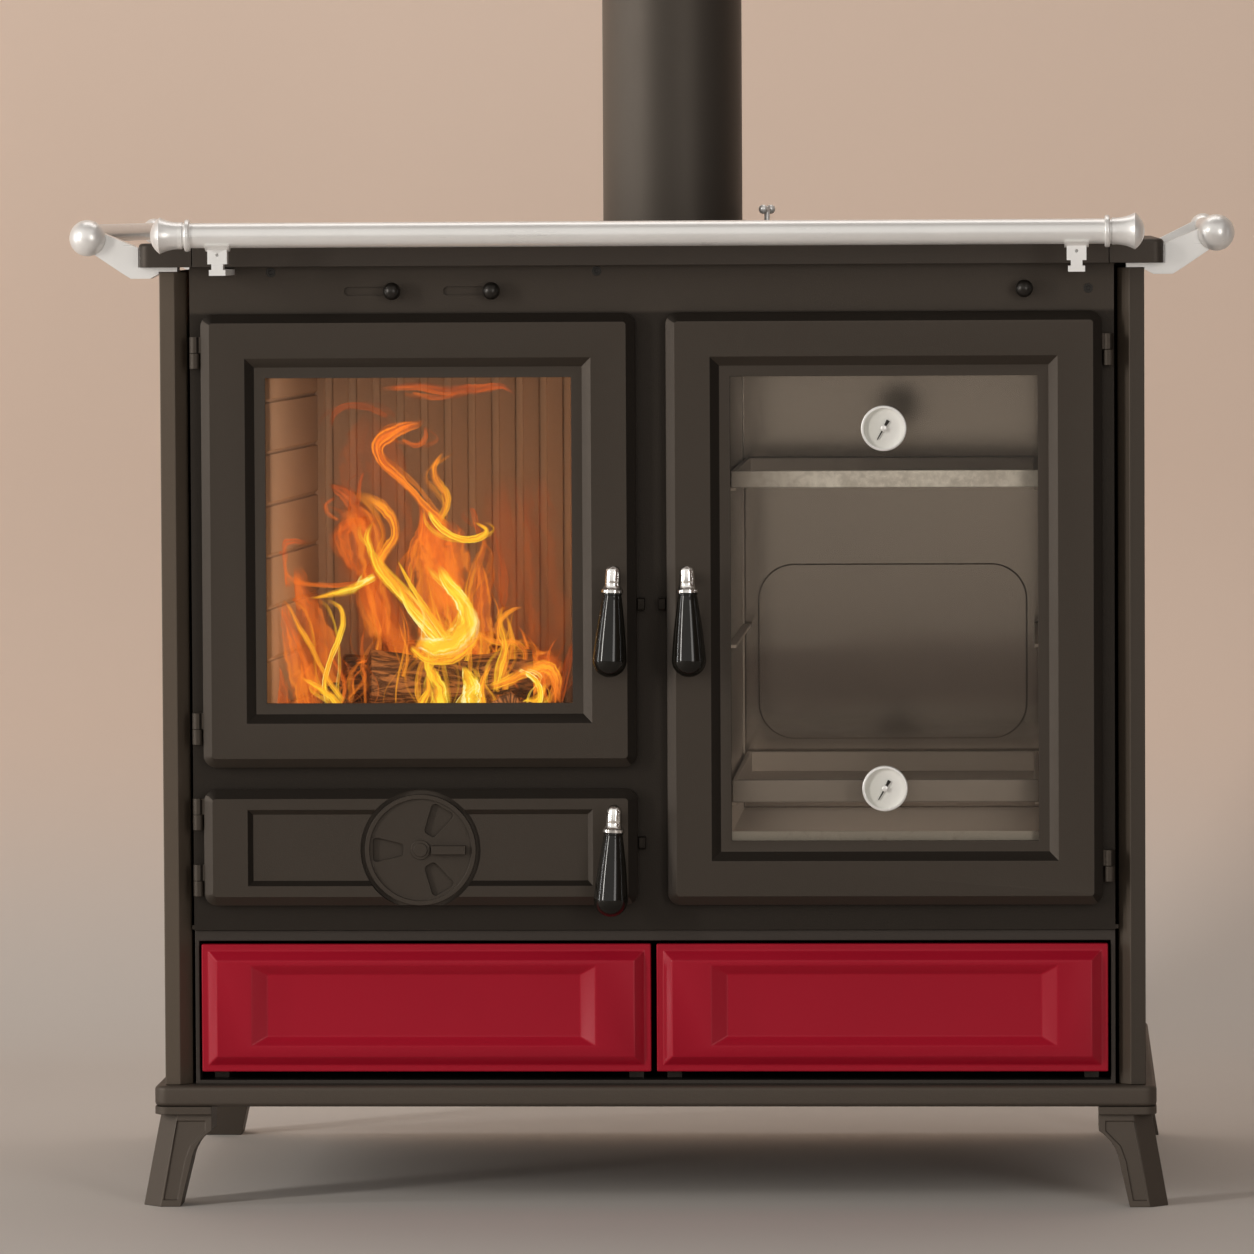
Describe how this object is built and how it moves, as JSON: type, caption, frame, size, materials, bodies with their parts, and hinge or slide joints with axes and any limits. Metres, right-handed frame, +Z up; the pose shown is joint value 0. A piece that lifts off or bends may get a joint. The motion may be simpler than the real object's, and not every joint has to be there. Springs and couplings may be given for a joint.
{
  "type": "wood cookstove",
  "caption": "Wood-burning range with a glazed fire door, an ash door, a glazed oven door, storage drawers, a cast hob, towel rails and a top flue pipe.",
  "frame": {"origin": "on the floor, in the middle of the footprint", "axes": "+X to the right of a person facing the doors, +Y to the back, +Z up"},
  "size_m": [1.024, 0.6785, 1.11],
  "materials": {
    "cast_anthracite": "matt heat paint on fine cast iron",
    "panel_anthracite": "matt powder coat",
    "plinth_anthracite": "matt paint",
    "hob_iron": "matt black iron",
    "flue_black": "matt heat paint",
    "red_enamel": "satin enamel",
    "drawer_steel": "black sheet steel",
    "chrome": "satin chrome",
    "grip_black": "glossy",
    "black_steel": "black",
    "door_glass": "clear heat glass",
    "clip_steel": "plain steel",
    "rope": "braided heat rope",
    "gauge_steel": "satin steel",
    "dial_white": "white",
    "firebox_iron": "sooty iron",
    "firebrick": "fired clay",
    "oven_liner": "satin stainless steel",
    "oven_steel": "worn steel"
  },
  "bodies": {
    "stove": {"base_plinth": "plinth_anthracite", "feet": "plinth_anthracite", "left_side_panel": "panel_anthracite", "right_side_panel": "panel_anthracite", "back_panel": "panel_anthracite", "body_deck": "panel_anthracite", "front_frame": "cast_anthracite", "front_screws": "black_steel", "hinge_lugs": "cast_anthracite", "latch_keepers": "cast_anthracite", "drawer_frame": "drawer_steel", "drawer_runners": "drawer_steel", "firebox_shell": "firebox_iron", "firebricks": "firebrick", "fire_grate": "firebox_iron", "ash_pan": "firebox_iron", "oven_box": "oven_liner", "oven_runners": "oven_steel", "oven_shelf": "oven_steel", "oven_tray": "oven_steel", "top_end_castings": "hob_iron", "hob_plate": "hob_iron", "flue_collar": "flue_black", "flue_pipe": "flue_black", "front_rail": "chrome", "front_rail_fittings": "chrome", "front_rail_brackets": "chrome", "side_rails": "chrome"},
    "fire_door": {"fire_door_frame": "cast_anthracite", "fire_door_glass": "door_glass", "fire_door_clips": "clip_steel", "fire_door_seal": "rope"},
    "fire_handle": {"fire_handle_spindle": "chrome", "fire_handle_grip": "grip_black"},
    "ash_door": {"ash_door_panel": "cast_anthracite", "ash_door_seal": "rope"},
    "ash_handle": {"ash_handle_spindle": "chrome", "ash_handle_grip": "grip_black"},
    "air_regulator": {"air_disc": "cast_anthracite"},
    "oven_door": {"oven_door_frame": "cast_anthracite", "oven_door_glass": "door_glass", "oven_door_clips": "clip_steel", "oven_door_seal": "rope", "gauge_cases": "gauge_steel", "gauge_dials": "dial_white"},
    "oven_handle": {"oven_handle_spindle": "chrome", "oven_handle_grip": "grip_black"},
    "lower_pointer": {"lower_gauge_pointer": "black_steel"},
    "upper_pointer": {"upper_gauge_pointer": "black_steel"},
    "left_drawer": {"left_drawer_front": "red_enamel", "left_drawer_box": "drawer_steel"},
    "right_drawer": {"right_drawer_front": "red_enamel", "right_drawer_box": "drawer_steel"},
    "left_air_slide": {"left_air_slider": "black_steel"},
    "right_air_slide": {"right_air_slider": "black_steel"},
    "oven_damper": {"oven_damper_rod": "black_steel"},
    "flue_damper": {"damper_handle": "chrome", "damper_flap": "black_steel"},
    "ring": {"hob_ring": "hob_iron"},
    "lid": {"hob_lid": "hob_iron"}
  },
  "joints": [
    {"name": "fire_door_swing", "type": "hinge", "parent": "stove", "child": "fire_door", "pos_m": [-0.4015, -0.251, 0.388], "axis": [0, 0, -1], "range_deg": [0, 110]},
    {"name": "fire_handle_turn", "type": "hinge", "parent": "fire_door", "child": "fire_handle", "pos_m": [-0.0326, -0.281, 0.555], "axis": [0, 1, 0], "range_deg": [0, 90]},
    {"name": "ash_door_swing", "type": "hinge", "parent": "stove", "child": "ash_door", "pos_m": [-0.4015, -0.251, 0.266], "axis": [0, 0, -1], "range_deg": [0, 110]},
    {"name": "ash_handle_turn", "type": "hinge", "parent": "ash_door", "child": "ash_handle", "pos_m": [-0.0326, -0.281, 0.3445], "axis": [0, 1, 0], "range_deg": [0, 90]},
    {"name": "air_disc_turn", "type": "hinge", "parent": "ash_door", "child": "air_regulator", "pos_m": [-0.20465, -0.2523, 0.31525], "axis": [0, 1, 0], "range_deg": [0, 60]},
    {"name": "oven_door_swing", "type": "hinge", "parent": "stove", "child": "oven_door", "pos_m": [0.4015, -0.251, 0.266], "axis": [0, 0, 1], "range_deg": [0, 110]},
    {"name": "oven_handle_turn", "type": "hinge", "parent": "oven_door", "child": "oven_handle", "pos_m": [0.0326, -0.281, 0.555], "axis": [0, -1, 0], "range_deg": [0, 90]},
    {"name": "lower_pointer_turn", "type": "hinge", "parent": "oven_door", "child": "lower_pointer", "pos_m": [0.20465, -0.25, 0.3685], "axis": [0, 1, 0], "range_deg": [0, 240]},
    {"name": "upper_pointer_turn", "type": "hinge", "parent": "oven_door", "child": "upper_pointer", "pos_m": [0.20465, -0.25, 0.685], "axis": [0, 1, 0], "range_deg": [0, 240]},
    {"name": "left_drawer_slide", "type": "slide", "parent": "stove", "child": "left_drawer", "axis": [0, -1, 0], "range_m": [0, 0.36]},
    {"name": "right_drawer_slide", "type": "slide", "parent": "stove", "child": "right_drawer", "axis": [0, -1, 0], "range_m": [0, 0.36]},
    {"name": "left_air_slide_move", "type": "slide", "parent": "stove", "child": "left_air_slide", "axis": [-1, 0, 0], "range_m": [0, 0.0392]},
    {"name": "right_air_slide_move", "type": "slide", "parent": "stove", "child": "right_air_slide", "axis": [-1, 0, 0], "range_m": [0, 0.0392]},
    {"name": "oven_damper_pull", "type": "slide", "parent": "stove", "child": "oven_damper", "axis": [0, -1, 0], "range_m": [0, 0.05]},
    {"name": "flue_damper_turn", "type": "hinge", "parent": "stove", "child": "flue_damper", "pos_m": [0.088, 0.228, 0.85], "axis": [0, 0, 1], "range_deg": [0, 90]},
    {"name": "ring_lift", "type": "slide", "parent": "stove", "child": "ring", "axis": [0, 0, 1], "range_m": [0, 0.1]},
    {"name": "lid_lift", "type": "slide", "parent": "ring", "child": "lid", "axis": [0, 0, 1], "range_m": [0, 0.1]}
  ]
}
